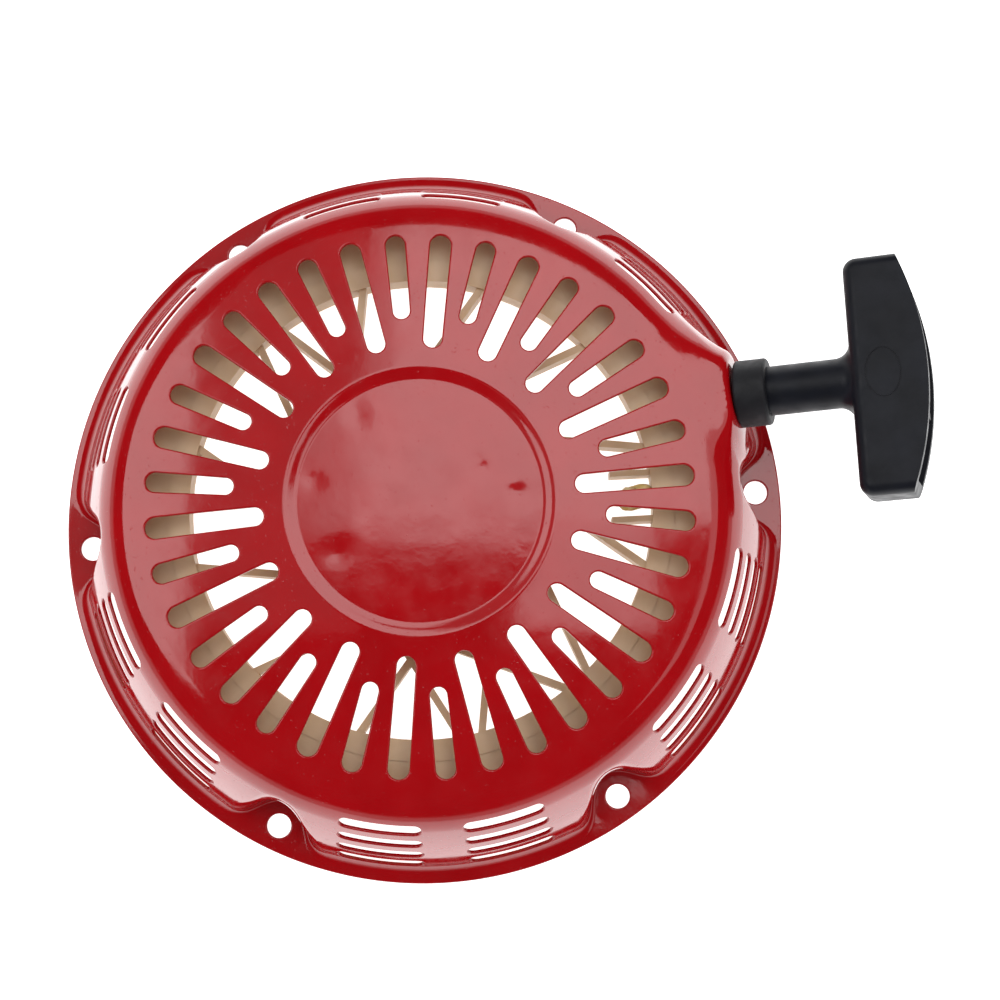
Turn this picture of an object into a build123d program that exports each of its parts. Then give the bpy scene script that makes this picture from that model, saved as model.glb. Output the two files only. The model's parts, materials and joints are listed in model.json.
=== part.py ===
from build123d import *
import math
import os

# Recoil starter for a large single-cylinder engine, millimetres.
# Origin: centre of the mounting flange's underside. +Z points out of the case, away from the engine.
# The case, post and rope guide stand still. The reel turns about Z. The handle leaves along its own axis.

# ---------------------------------------------------------------- driving dimensions
SHEET = 1.0                 # pressed steel thickness of the case
FLANGE_R = 113.0
BOLT_PCD = 210.5
BOLT_COUNT = 6
BOLT_HOLE_R = 3.7
BOLT_ANGLE = 4.9            # first bolt hole, degrees from +X
BELOW = 6.0                 # how far cutters and core bodies run on below the flange plane

CROWN_RADIUS = 648.0        # the top's slight crown
CROWN_TOP = 47.33           # height that the crown would reach on the axis
SHOULDER_R = 90.4           # where the crown turns into the shoulder
WALL_TOP = (94.4, 38.0)
WALL_MIDDLE = (101.5, 21.5)
WALL_FOOT = (108.3, 1.0)
DISC_R = 36.0               # flat disc pressed into the middle of the top
DISC_STEP_R = 40.5
DISC_TOP = 45.25

SLOT_ANGLE = 5.8            # first long ventilation slot
SLOT_PAIRS = 18
SLOT_OUTER_R = 81.5
LONG_SLOT_INNER_R = 46.0
SHORT_SLOT_INNER_R = 55.0
LONG_SLOT_WIDTHS = (5.5, 6.3)
SHORT_SLOT_WIDTHS = (5.0, 5.8)

POCKET_R = 8.3              # screw pocket round each bolt hole
POCKET_FLARE_R = 9.0

LOUVRE_ROWS = (33.4, 24.5, 15.5, 6.8)
LOUVRE_HALF_ANGLE = 7.3
LOUVRE_HEIGHT = 4.8
LOUVRE_MIDWAY = 34.05       # about halfway between the first two bolts
LOUVRE_OFFSET = 11.0        # each group stands this far either side of midway

HANDLE_POINT = Vector(95.65, 34.55, 30.2)   # where the collar meets the rope guide's face
HANDLE_AZIMUTH = 3.0
HANDLE_RISE = 17.5
EXIT_FACE_GAP = 0.5
EXIT_FACE_R = 13.0
EXIT_TAPER = 32.0
EXIT_DEPTH = 20.0
EXIT_HOLE_R = 5.45

ROPE_R = 2.5
ROPE_PITCH = 5.1            # growth of the rope's radius from one turn to the next
ROPE_BEND_R = 8.0           # bend between the reel and the rope guide
ROPE_CORNER = 5.5           # that bend's corner is this far behind HANDLE_POINT
OUTER_TURN_ARC = 290.0
REEL_KNOT = (4.4, 10.0, 1.6)    # radius, length and rounding
GRIP_KNOT = (5.6, 9.5, 3.0)
RUNNING_GAP = 0.05          # radial clearance of every turning fit

PLATE_R = 33.0              # plate welded under the disc; it carries the post
PLATE_THICK = 2.0
WELD_R = 3.0                # dimples of the plate's spot welds, and their circle
WELD_DEPTH = 0.6
WELD_CIRCLE_R = 23.1
POST_SPRING_R = 11.0        # upper part of the post, which the main spring hooks into
POST_BEARING_R = 8.0
POST_BOTTOM = 9.8
POST_RIVET_R = 7.0
POST_SHOULDER_GAP = 0.4     # between the post's shoulder and the spring cup's floor
SPRING_SLOT = 1.6
SPRING_SLOT_LENGTH = 6.0
SCREW_R = 3.0
SCREW_LENGTH = 14.0
SCREW_FLANGE_R = 7.0
SCREW_FLANGE_THICK = 1.4
SCREW_HEAD_THICK = 3.8
SCREW_HEAD_ACROSS_FLATS = 10.0
SCREW_HOLE_DEPTH = 16.0
WASHER_R = 16.0
WASHER_THICK = 1.2

REEL_TOP = 32.6
REEL_BOTTOM = 24.6
GROOVE_FLOOR_R = 72.0
GROOVE_WIDTH = 5.4
RIM_INNER_R = 69.6
RIM_OUTER_R = 88.0
RIM_STEP_R = 76.0
RIM_STEP = 0.4
HUB_R = 44.0
HUB_BOTTOM = 22.0
CUP_R = 40.5                # the spring's cup in the hub
CUP_FLOOR = 28.0
CUP_TOP = 43.4
BLADE_COUNT = 12
BLADE_RIM_ANGLE = 15.0
BLADE_SWEEP = 13.5
BLADE_THICK = 2.2
BLADE_RECESS = 1.4          # how much lower the blades are than the rim
BRACES = ((128.5, 119.0), (280.0, 264.0), (309.0, 283.5))   # rim and hub angles of the reversed braces
KNOT_ANGLE = 3.0
KNOT_WALL = (13.0, 1.8)     # length and thickness of the two walls beside the reel's knot
KNOT_WALL_SPREAD = 7.0
REEL_BOSS_WALL = 4.0
CUP_SLOT_LENGTH = 4.2       # notch in the cup's wall for the spring's outer end

STRIP_THICK = 0.9
STRIP_WIDTH = 13.0
STRIP_START_R = 12.6
STRIP_STEP = 2.15           # growth of the strip's radius in each half turn
STRIP_HALF_TURNS = 12
STRIP_TAB = 4.4             # straight end that sits in the post's or the cup's slot

PAWL_PIVOT_R = 30.0
PAWL_ANGLES = (75.0, 255.0)
PAWL_SWING = 28.0
PAWL_BOTTOM = 17.2
PAWL_THICK = 4.5
PAWL_PIN_R = 3.0
PAWL_PIN_LENGTH = 4.4
PAWL_EYE_R = 6.2
# Circles that the pawl's plan is wrapped round: place from the pivot, and radius.
PAWL_TIP = ((-1.8, -20.0, 3.6), (-4.2, -26.0, 0.8), (1.4, -27.0, 0.6))
PAWL_WELL_R = 6.0           # well in the reel's hub for each pawl's spring
PAWL_WELL_DEPTH = 2.6
PAWL_HOLE_DEPTH = 4.8
PAWL_SPRING = (4.4, 0.4, 1.0, 1.6)      # coil radius, wire radius, pitch and height
STUD_OFFSET = (-1.3, -12.0)     # from the pivot, in a frame whose X is the pivot's own radius
STUD_R = 2.0
STUD_LENGTH = 2.7
GUIDE_R = 41.0
GUIDE_BOTTOM = 14.6
GUIDE_THICK = 2.0
GUIDE_LAG = 35.0            # how far the reel turns before the pawls are fully out
GUIDE_HUB_R = 12.0
GUIDE_HUB_DEPTH = 2.8
GUIDE_WINDOW_R = 6.0
GUIDE_WINDOW_CIRCLE_R = 24.0
FRICTION_SPRING = (13.6, 0.6, 1.4, 3.4)
ROPE_GUIDE_R = 8.5          # flange of the rope guide inside the case
ROPE_GUIDE_THICK = 1.5
ROPE_GUIDE_GAP = 1.1        # round the rope, in the guide's bore

GRIP_START = 1.9            # distances along the pull axis from HANDLE_POINT
GRIP_SPIGOT_R = 6.0
GRIP_NECK_R = 7.5
GRIP_ROOT_R = 5.0
COLLAR_R = 10.2
COLLAR_START = 0.3
COLLAR_END = 10.2
COLLAR_EDGE_R = 1.0
COLLAR_MOUTH = 4.0
BAR_INNER = 35.4
BAR_CORNER = 51.0
BAR_OUTER = 58.0
BAR_HALF_LENGTH = 35.8
BAR_HALF_THICK = 10.0
BAR_WALL = 3.4
BAR_CORNER_R = 4.0
BAR_EDGE_R = 3.4
RIB_PLACE = 12.0            # the grip's two inner ribs stand this far either side of the rope
RIB_THICK = 2.4
OVAL = (7.6, 5.4, 0.6, 0.25)    # groove on the bar's face: half length, half width, line width and depth
RETAINER = (19.0, 12.6, 1.5)    # plate that the grip's knot rests against
CLOSE_FIT = 0.2             # round the rope in the grip, and round the screw in the washer


def polar(radius, degrees, height=0.0):
    angle = math.radians(degrees)
    return Vector(radius * math.cos(angle), radius * math.sin(angle), height)


def finish(part, name):
    part.label = name
    export_step(part, f"parts/{name}.step")


def direction(azimuth, rise):
    return polar(math.cos(math.radians(rise)), azimuth, math.sin(math.radians(rise)))


os.makedirs("parts", exist_ok=True)

pull_axis = direction(HANDLE_AZIMUTH, HANDLE_RISE)
pull_side = polar(1.0, HANDLE_AZIMUTH + 90.0)


def pull_plane(distance):
    """Plane across the handle's axis: its X runs along the T bar, its Z outwards along the pull."""
    return Plane(HANDLE_POINT + pull_axis * distance, x_dir=pull_side, z_dir=pull_axis)


# ---------------------------------------------------------------- case
def crown_height(radius):
    return CROWN_TOP - (CROWN_RADIUS - math.sqrt(CROWN_RADIUS**2 - radius**2))


def pocket_outline(grow):
    """Plan of one screw pocket: an arch round the bolt hole that flares out to the flange."""
    hole_r = BOLT_PCD / 2
    with BuildSketch(Plane.XY.offset(-BELOW)) as outline:
        with Locations((hole_r, 0)):
            Circle(POCKET_R)
        with Locations((WALL_FOOT[0] + 15.0, 0)):
            Rectangle(30.0, 70.0)
        on_wall = outline.vertices().filter_by(lambda v: abs(v.X - WALL_FOOT[0]) < 0.01)
        fillet(on_wall.filter_by(lambda v: abs(v.Y) < 20.0), POCKET_FLARE_R)
        if grow > 0:
            offset(amount=grow, kind=Kind.ARC)
    return outline.sketch


def circle_centre(first, second, third):
    """Centre of the circle through three points of the case's section."""
    (ax, ay), (bx, by), (cx, cy) = first, second, third
    twice_area = 2 * (ax * (by - cy) + bx * (cy - ay) + cx * (ay - by))
    a2, b2, c2 = ax**2 + ay**2, bx**2 + by**2, cx**2 + cy**2
    x = (a2 * (by - cy) + b2 * (cy - ay) + c2 * (ay - by)) / twice_area
    y = (a2 * (cx - bx) + b2 * (ax - cx) + c2 * (bx - ax)) / twice_area
    return x, y


def move_towards(point, centre, amount):
    gap = math.dist(point, centre)
    return tuple(p + (c - p) * amount / gap for p, c in zip(point, centre))


def dome(inset):
    """The case as a solid lump, its skin moved inwards by inset."""
    taper = math.radians(EXIT_TAPER)
    crown_centre = (0, CROWN_TOP - CROWN_RADIUS)
    wall_centre = circle_centre(WALL_TOP, WALL_MIDDLE, WALL_FOOT)
    crown_radii = (DISC_STEP_R, (DISC_STEP_R + SHOULDER_R) / 2, SHOULDER_R)
    crown_points = [(radius, crown_height(radius)) for radius in crown_radii]
    step, middle, shoulder = [move_towards(p, crown_centre, inset) for p in crown_points]
    top, side, foot = [move_towards(p, wall_centre, inset) for p in (WALL_TOP, WALL_MIDDLE, WALL_FOOT)]
    with BuildSketch(Plane.XZ) as section:
        with BuildLine():
            Polyline((0, -BELOW), (0, DISC_TOP - inset), (DISC_R, DISC_TOP - inset), step)
            crown = ThreePointArc(step, middle, shoulder)
            TangentArc(shoulder, top, tangent=crown % 1)
            ThreePointArc(top, side, foot)
            Polyline(foot, (foot[0], -BELOW), (0, -BELOW))
        make_face()
    with BuildPart() as exit_boss:
        with BuildSketch(pull_plane(-EXIT_FACE_GAP - inset)):
            Circle(EXIT_FACE_R - inset * (1 / math.cos(taper) - math.tan(taper)))
        extrude(amount=-EXIT_DEPTH, taper=-EXIT_TAPER)
        with BuildSketch(Plane.XZ):
            with BuildLine():
                level = shoulder[1]
                reach = FLANGE_R - shoulder[0]
                drop = reach * shoulder[0] / CROWN_RADIUS
                rim_points = ((FLANGE_R, level - drop), (FLANGE_R, -BELOW))
                Polyline((0, -BELOW), (0, level), shoulder, *rim_points, close=True)
            make_face()
        revolve(axis=Axis.Z, mode=Mode.INTERSECT)
    with BuildPart() as lump:
        revolve(section.sketch, axis=Axis.Z)
        add(exit_boss.part)
        with BuildSketch(Plane.XY.offset(-BELOW)):
            with PolarLocations(0, BOLT_COUNT, start_angle=BOLT_ANGLE):
                add(pocket_outline(inset))
        extrude(amount=80, mode=Mode.SUBTRACT)
    return lump.part


outer_dome = dome(0.0)
inner_dome = dome(SHEET)
with BuildSketch(Plane.XY) as long_slot:
    with Locations((LONG_SLOT_INNER_R + LONG_SLOT_WIDTHS[0] / 2, 0)):
        Circle(LONG_SLOT_WIDTHS[0] / 2)
    with Locations((SLOT_OUTER_R - LONG_SLOT_WIDTHS[1] / 2, 0)):
        Circle(LONG_SLOT_WIDTHS[1] / 2)
    make_hull()
with BuildSketch(Plane.XY) as short_slot:
    with Locations((SHORT_SLOT_INNER_R + SHORT_SLOT_WIDTHS[0] / 2, 0)):
        Circle(SHORT_SLOT_WIDTHS[0] / 2)
    with Locations((SLOT_OUTER_R - SHORT_SLOT_WIDTHS[1] / 2, 0)):
        Circle(SHORT_SLOT_WIDTHS[1] / 2)
    make_hull()


def wall_radius(height):
    """Outer radius of the case wall at a height."""
    x, y = circle_centre(WALL_TOP, WALL_MIDDLE, WALL_FOOT)
    radius = math.dist((x, y), WALL_FOOT)
    return x + math.sqrt(radius**2 - (height - y) ** 2)


louvre_angles = []
for bolt in range(BOLT_COUNT):
    midway = LOUVRE_MIDWAY + bolt * 360 / BOLT_COUNT
    louvre_angles += [midway - LOUVRE_OFFSET, midway + LOUVRE_OFFSET]
louvre_angles.pop(0)        # the rope leaves the case here instead

with BuildPart() as case:
    add(outer_dome)
    with BuildSketch(Plane.XY):
        Circle(FLANGE_R)
    extrude(amount=SHEET)
    with BuildSketch(Plane.XY.offset(-2 * BELOW)):
        Circle(FLANGE_R)
    extrude(amount=2 * BELOW, mode=Mode.SUBTRACT)
    add(inner_dome, mode=Mode.SUBTRACT)
    with BuildSketch(Plane.XY.offset(WALL_TOP[1])):
        with PolarLocations(0, SLOT_PAIRS, start_angle=SLOT_ANGLE):
            add(long_slot.sketch)
        with PolarLocations(0, SLOT_PAIRS, start_angle=SLOT_ANGLE + 180 / SLOT_PAIRS):
            add(short_slot.sketch)
    extrude(amount=20, mode=Mode.SUBTRACT)
    for row in LOUVRE_ROWS:
        length = 2 * wall_radius(row) * math.sin(math.radians(LOUVRE_HALF_ANGLE))
        for angle in louvre_angles:
            outwards = polar(1.0, angle)
            start = outwards * (wall_radius(row) - 8) + Vector(0, 0, row)
            with BuildSketch(Plane(start, x_dir=polar(1.0, angle + 90), z_dir=outwards)):
                SlotOverall(length, LOUVRE_HEIGHT)
            extrude(amount=14, mode=Mode.SUBTRACT)
    with BuildSketch(Plane.XY.offset(-1)):
        with PolarLocations(BOLT_PCD / 2, BOLT_COUNT, start_angle=BOLT_ANGLE):
            Circle(BOLT_HOLE_R)
    extrude(amount=2 * BELOW, both=True, mode=Mode.SUBTRACT)
    with BuildSketch(pull_plane(0)):
        Circle(EXIT_HOLE_R)
    extrude(amount=EXIT_DEPTH / 2, both=True, mode=Mode.SUBTRACT)
finish(case.part, "case")

# ---------------------------------------------------------------- plate, post and screw
plate_top = DISC_TOP - SHEET
plate_bottom = plate_top - PLATE_THICK

with BuildPart() as mounting_plate:
    with BuildSketch(Plane.XY.offset(plate_bottom)):
        Circle(PLATE_R)
        Circle(POST_RIVET_R, mode=Mode.SUBTRACT)
    extrude(amount=PLATE_THICK)
    with BuildSketch(Plane.XY.offset(plate_bottom)):
        with PolarLocations(WELD_CIRCLE_R, 6):
            Circle(WELD_R)
    extrude(amount=WELD_DEPTH, mode=Mode.SUBTRACT)
    chamfer(mounting_plate.faces().sort_by(Axis.Z)[0].outer_wire().edges(), 0.3 * PLATE_THICK)
finish(mounting_plate.part, "mounting_plate")

post_shoulder = CUP_FLOOR + POST_SHOULDER_GAP
with BuildPart() as center_post:
    with BuildSketch(Plane.XY.offset(post_shoulder)):
        Circle(POST_SPRING_R)
    extrude(amount=plate_bottom - post_shoulder)
    with BuildSketch(Plane.XY.offset(POST_BOTTOM)):
        Circle(POST_BEARING_R)
    extrude(until=Until.NEXT)
    with BuildSketch(Plane.XY.offset(plate_bottom)):
        Circle(POST_RIVET_R)
    extrude(amount=PLATE_THICK)
    with BuildSketch(Plane.XY.offset(post_shoulder)):
        with Locations((POST_SPRING_R - 1.0, 0)):
            Rectangle(SPRING_SLOT_LENGTH, SPRING_SLOT)
    extrude(amount=plate_bottom - post_shoulder, mode=Mode.SUBTRACT)
    with BuildSketch(Plane.XY.offset(POST_BOTTOM)):
        Circle(SCREW_R + RUNNING_GAP)
    extrude(amount=SCREW_HOLE_DEPTH, mode=Mode.SUBTRACT)
    chamfer(center_post.faces().sort_by(Axis.Z)[0].outer_wire().edges(), 0.6)
finish(center_post.part, "center_post")

with BuildPart() as retaining_washer:
    with BuildSketch(Plane.XY.offset(POST_BOTTOM)):
        Circle(WASHER_R)
        Circle(SCREW_R + CLOSE_FIT, mode=Mode.SUBTRACT)
    extrude(amount=-WASHER_THICK)
    rim = retaining_washer.edges().filter_by(GeomType.CIRCLE).group_by(SortBy.RADIUS)[-1]
    fillet(rim, WASHER_THICK / 3)
finish(retaining_washer.part, "retaining_washer")

head_top = POST_BOTTOM - WASHER_THICK
with BuildPart() as center_screw:
    with BuildSketch(Plane.XY.offset(head_top)):
        Circle(SCREW_FLANGE_R)
    extrude(amount=-SCREW_FLANGE_THICK, taper=8)
    with BuildSketch(Plane.XY.offset(head_top - SCREW_FLANGE_THICK)):
        RegularPolygon(SCREW_HEAD_ACROSS_FLATS / 2, 6, major_radius=False)
    extrude(amount=-SCREW_HEAD_THICK)
    chamfer(center_screw.faces().sort_by(Axis.Z)[0].edges(), 0.5)
    with BuildSketch(Plane.XY.offset(head_top)):
        Circle(SCREW_R)
    extrude(amount=SCREW_LENGTH)
    chamfer(center_screw.faces().sort_by(Axis.Z)[-1].edges(), 0.6)
finish(center_screw.part, "center_screw")

# ---------------------------------------------------------------- reel
groove_middle = (REEL_TOP + REEL_BOTTOM) / 2
groove_bottom = groove_middle - GROOVE_WIDTH / 2
groove_top = groove_middle + GROOVE_WIDTH / 2
blade_bottom = REEL_BOTTOM + 0.3
blade_height = REEL_TOP - REEL_BOTTOM - BLADE_RECESS


def pawl_pivot(index):
    return polar(PAWL_PIVOT_R, PAWL_ANGLES[index])


with BuildPart() as reel:
    with BuildSketch(Plane.XZ):
        with BuildLine():
            Polyline(
                (RIM_INNER_R, REEL_BOTTOM),
                (RIM_OUTER_R, REEL_BOTTOM),
                (RIM_OUTER_R, groove_bottom - 0.3),
                (GROOVE_FLOOR_R, groove_bottom),
                (GROOVE_FLOOR_R, groove_top),
                (RIM_OUTER_R, groove_top + 0.3),
                (RIM_OUTER_R, REEL_TOP - RIM_STEP),
                (RIM_STEP_R, REEL_TOP - RIM_STEP),
                (RIM_STEP_R, REEL_TOP),
                (RIM_INNER_R, REEL_TOP),
                close=True,
            )
        make_face()
    revolve(axis=Axis.Z)
    with BuildSketch(Plane.XY.offset(HUB_BOTTOM)):
        Circle(HUB_R)
    extrude(amount=CUP_TOP - HUB_BOTTOM)
    strips = [(BLADE_RIM_ANGLE + k * 360 / BLADE_COUNT, BLADE_SWEEP) for k in range(BLADE_COUNT)]
    strips += [(rim_angle, hub_angle - rim_angle) for rim_angle, hub_angle in BRACES]
    for rim_angle, sweep_angle in strips:
        rim_end = polar(RIM_INNER_R + 0.8, rim_angle)
        hub_end = polar(HUB_R - 0.5, rim_angle + sweep_angle)
        middle_point = (rim_end + hub_end) * 0.5 + Vector(0, 0, blade_bottom)
        with BuildSketch(Plane(middle_point, x_dir=hub_end - rim_end, z_dir=(0, 0, 1))):
            Rectangle((hub_end - rim_end).length, BLADE_THICK)
        extrude(amount=blade_height)
    for side in (-1, 1):
        along = polar(RIM_INNER_R - KNOT_WALL[0] / 2 + 0.5, KNOT_ANGLE, blade_bottom)
        wall_middle = along + polar(KNOT_WALL_SPREAD * side, KNOT_ANGLE + 90)
        with BuildSketch(Plane(wall_middle, x_dir=polar(1, KNOT_ANGLE), z_dir=(0, 0, 1))):
            Rectangle(*KNOT_WALL)
        extrude(amount=blade_height)
    with BuildSketch(Plane.XY.offset(HUB_BOTTOM)):
        Circle(POST_BEARING_R + REEL_BOSS_WALL)
    extrude(amount=PAWL_BOTTOM - 0.4 - HUB_BOTTOM)
    with BuildSketch(Plane.XY.offset(CUP_FLOOR)):
        Circle(CUP_R)
        with Locations((CUP_R, 0)):
            Rectangle(CUP_SLOT_LENGTH, SPRING_SLOT)
    extrude(amount=CUP_TOP - CUP_FLOOR, mode=Mode.SUBTRACT)
    with BuildSketch(Plane.XY):
        Circle(POST_BEARING_R + RUNNING_GAP)
    extrude(amount=CUP_TOP, mode=Mode.SUBTRACT)
    for index in range(2):
        with BuildSketch(Plane.XY.offset(HUB_BOTTOM)):
            with Locations(pawl_pivot(index)):
                Circle(PAWL_PIN_R + RUNNING_GAP)
        extrude(amount=PAWL_HOLE_DEPTH, mode=Mode.SUBTRACT)
        with BuildSketch(Plane.XY.offset(HUB_BOTTOM)):
            with Locations(pawl_pivot(index)):
                Circle(PAWL_WELL_R)
        extrude(amount=PAWL_WELL_DEPTH, mode=Mode.SUBTRACT)
    with BuildSketch(Plane(polar(RIM_INNER_R, KNOT_ANGLE, groove_middle), z_dir=polar(1, KNOT_ANGLE))):
        Circle(ROPE_R + 0.15)
    extrude(amount=8, both=True, mode=Mode.SUBTRACT)
finish(reel.part, "reel")

# ---------------------------------------------------------------- main spring, a flat strip
strip_bottom = CUP_FLOOR + 0.6
strip_middle = strip_bottom + STRIP_WIDTH / 2
with BuildPart() as main_spring:
    with BuildLine() as strip_path:
        for half_turn in range(STRIP_HALF_TURNS):
            radius = STRIP_START_R + half_turn * STRIP_STEP
            centre_x = STRIP_STEP * (half_turn % 2)
            side = 1 if half_turn % 2 == 0 else -1
            ThreePointArc(
                (centre_x + side * radius, 0, strip_middle),
                (centre_x, -side * radius, strip_middle),
                (centre_x - side * radius, 0, strip_middle),
            )
    with BuildSketch(Plane((STRIP_START_R, 0, strip_middle), x_dir=(1, 0, 0), z_dir=(0, -1, 0))):
        Rectangle(STRIP_THICK, STRIP_WIDTH)
    sweep()
    strip_end_r = STRIP_START_R + STRIP_HALF_TURNS * STRIP_STEP
    with BuildSketch(Plane.XY.offset(strip_bottom)):
        tab_shift = STRIP_TAB / 2 - STRIP_THICK / 2 + 0.05
        with Locations((STRIP_START_R - tab_shift, 0), (strip_end_r + tab_shift, 0)):
            Rectangle(STRIP_TAB, STRIP_THICK)
    extrude(amount=STRIP_WIDTH)
finish(main_spring.part, "main_spring")

# ---------------------------------------------------------------- pawls and the ratchet guide
def pawl_frame(index, height):
    """Plane at a pawl's pivot whose X points away from the reel's centre."""
    pivot = pawl_pivot(index)
    return Plane((pivot.X, pivot.Y, height), x_dir=polar(1, PAWL_ANGLES[index]), z_dir=(0, 0, 1))


for index in range(2):
    with BuildPart() as pawl:
        with BuildSketch(pawl_frame(index, PAWL_BOTTOM)):
            Circle(PAWL_EYE_R)
            for x, y, radius in PAWL_TIP:
                with Locations((x, y)):
                    Circle(radius)
            make_hull()
        extrude(amount=PAWL_THICK)
        with BuildSketch(pawl_frame(index, PAWL_BOTTOM + PAWL_THICK)):
            Circle(PAWL_PIN_R)
        extrude(amount=PAWL_PIN_LENGTH)
        with BuildSketch(pawl_frame(index, PAWL_BOTTOM)):
            with Locations(STUD_OFFSET):
                Circle(STUD_R)
        extrude(amount=-STUD_LENGTH)
    finish(pawl.part, f"pawl_{index + 1}")
    with BuildPart() as pawl_spring:
        coil_r, wire_r, pitch, height = PAWL_SPRING
        with BuildLine(pawl_frame(index, HUB_BOTTOM + wire_r + 0.15)):
            coil = Helix(pitch=pitch, height=height, radius=coil_r)
        with BuildSketch(Plane(coil @ 0, z_dir=coil % 0)):
            Circle(wire_r)
        sweep()
    finish(pawl_spring.part, f"pawl_spring_{index + 1}")


def stud_in_guide(share):
    """Where a pawl's stud is in the guide, when the pawl is this share of the way out."""
    swung = Vector(*STUD_OFFSET).rotate(Axis.Z, PAWL_SWING * share) + Vector(PAWL_PIVOT_R, 0)
    return swung.rotate(Axis.Z, PAWL_ANGLES[0] - GUIDE_LAG * share)


with BuildPart() as ratchet_guide:
    with BuildSketch(Plane.XY.offset(GUIDE_BOTTOM)):
        Circle(GUIDE_R)
        with BuildLine(mode=Mode.PRIVATE):
            cam = ThreePointArc(stud_in_guide(0), stud_in_guide(0.5), stud_in_guide(1))
        with PolarLocations(0, 2):
            SlotArc(cam, 2 * STUD_R + 0.5, mode=Mode.SUBTRACT)
        with PolarLocations(GUIDE_WINDOW_CIRCLE_R, 2, start_angle=PAWL_ANGLES[0] + 60):
            Circle(GUIDE_WINDOW_R, mode=Mode.SUBTRACT)
    extrude(amount=GUIDE_THICK)
    with BuildSketch(Plane.XY.offset(GUIDE_BOTTOM)):
        Circle(GUIDE_HUB_R)
    extrude(amount=-GUIDE_HUB_DEPTH)
    with BuildSketch(Plane.XY):
        Circle(POST_BEARING_R + RUNNING_GAP)
    extrude(amount=REEL_BOTTOM, mode=Mode.SUBTRACT)
finish(ratchet_guide.part, "ratchet_guide")

with BuildPart() as friction_spring:
    coil_r, wire_r, pitch, height = FRICTION_SPRING
    with BuildLine(Plane.XY.offset(POST_BOTTOM + wire_r + 0.1)):
        coil = Helix(pitch=pitch, height=height, radius=coil_r)
    with BuildSketch(Plane(coil @ 0, z_dir=coil % 0)):
        Circle(wire_r)
    sweep()
finish(friction_spring.part, "friction_spring")

# ---------------------------------------------------------------- rope guide in the case's side
with BuildPart() as rope_guide:
    with BuildSketch(pull_plane(-EXIT_FACE_GAP - SHEET)):
        Circle(ROPE_GUIDE_R)
        Circle(ROPE_R + ROPE_GUIDE_GAP, mode=Mode.SUBTRACT)
    extrude(amount=-ROPE_GUIDE_THICK)
    with BuildSketch(pull_plane(-EXIT_FACE_GAP - SHEET)):
        Circle(EXIT_HOLE_R - RUNNING_GAP)
        Circle(ROPE_R + ROPE_GUIDE_GAP, mode=Mode.SUBTRACT)
    extrude(amount=SHEET + EXIT_FACE_GAP)
finish(rope_guide.part, "rope_guide")

# ---------------------------------------------------------------- rope
rope_corner = HANDLE_POINT - pull_axis * ROPE_CORNER
first_turn_r = GROOVE_FLOOR_R + ROPE_R + 0.1
outer_turn_r = first_turn_r + ROPE_PITCH
corner_r = math.hypot(rope_corner.X, rope_corner.Y)
corner_angle = math.degrees(math.atan2(rope_corner.Y, rope_corner.X))
leave_angle = corner_angle + math.degrees(math.acos(outer_turn_r / corner_r))
leave_point = polar(outer_turn_r, leave_angle, groove_middle)

with BuildPart() as rope_winding:
    with BuildSketch(Plane.XZ):
        with Locations((first_turn_r, groove_middle)):
            Circle(ROPE_R)
    revolve(axis=Axis.Z)
    turn_start = leave_angle + 0.4
    with BuildSketch(Plane(polar(0, 0), x_dir=polar(1, turn_start), z_dir=-polar(1, turn_start + 90))):
        with Locations((outer_turn_r, groove_middle)):
            Circle(ROPE_R)
    revolve(axis=Axis.Z, revolution_arc=OUTER_TURN_ARC)
finish(rope_winding.part, "rope_winding")

with BuildPart() as rope_lead:
    with BuildLine():
        lead_end = HANDLE_POINT + pull_axis * 0.2
        lead = FilletPolyline(leave_point, rope_corner, lead_end, radius=ROPE_BEND_R)
    with BuildSketch(Plane(lead @ 0, z_dir=lead % 0)):
        Circle(ROPE_R)
    sweep()
finish(rope_lead.part, "rope_lead")

with BuildPart() as reel_knot:
    knot_r, length, rounding = REEL_KNOT
    inwards = polar(-1, KNOT_ANGLE)
    with BuildSketch(Plane(polar(GROOVE_FLOOR_R + 0.05, KNOT_ANGLE, groove_middle), z_dir=inwards)):
        Circle(ROPE_R)
    extrude(amount=length - 2)
    with BuildSketch(Plane(polar(RIM_INNER_R - 0.1, KNOT_ANGLE, groove_middle), z_dir=inwards)):
        Circle(knot_r)
    extrude(amount=length)
    fillet(reel_knot.edges().filter_by(GeomType.CIRCLE).group_by(SortBy.RADIUS)[-1], rounding)
finish(reel_knot.part, "reel_knot")

# ---------------------------------------------------------------- handle
bar_plane = Plane(HANDLE_POINT, x_dir=pull_axis, z_dir=pull_axis.cross(pull_side))
cavity_start = BAR_INNER + BAR_WALL
cavity_end = BAR_OUTER + 5.0


def reach(edge):
    """How far out along the pull an edge's middle is."""
    return (edge.center() - HANDLE_POINT).dot(pull_axis)


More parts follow.
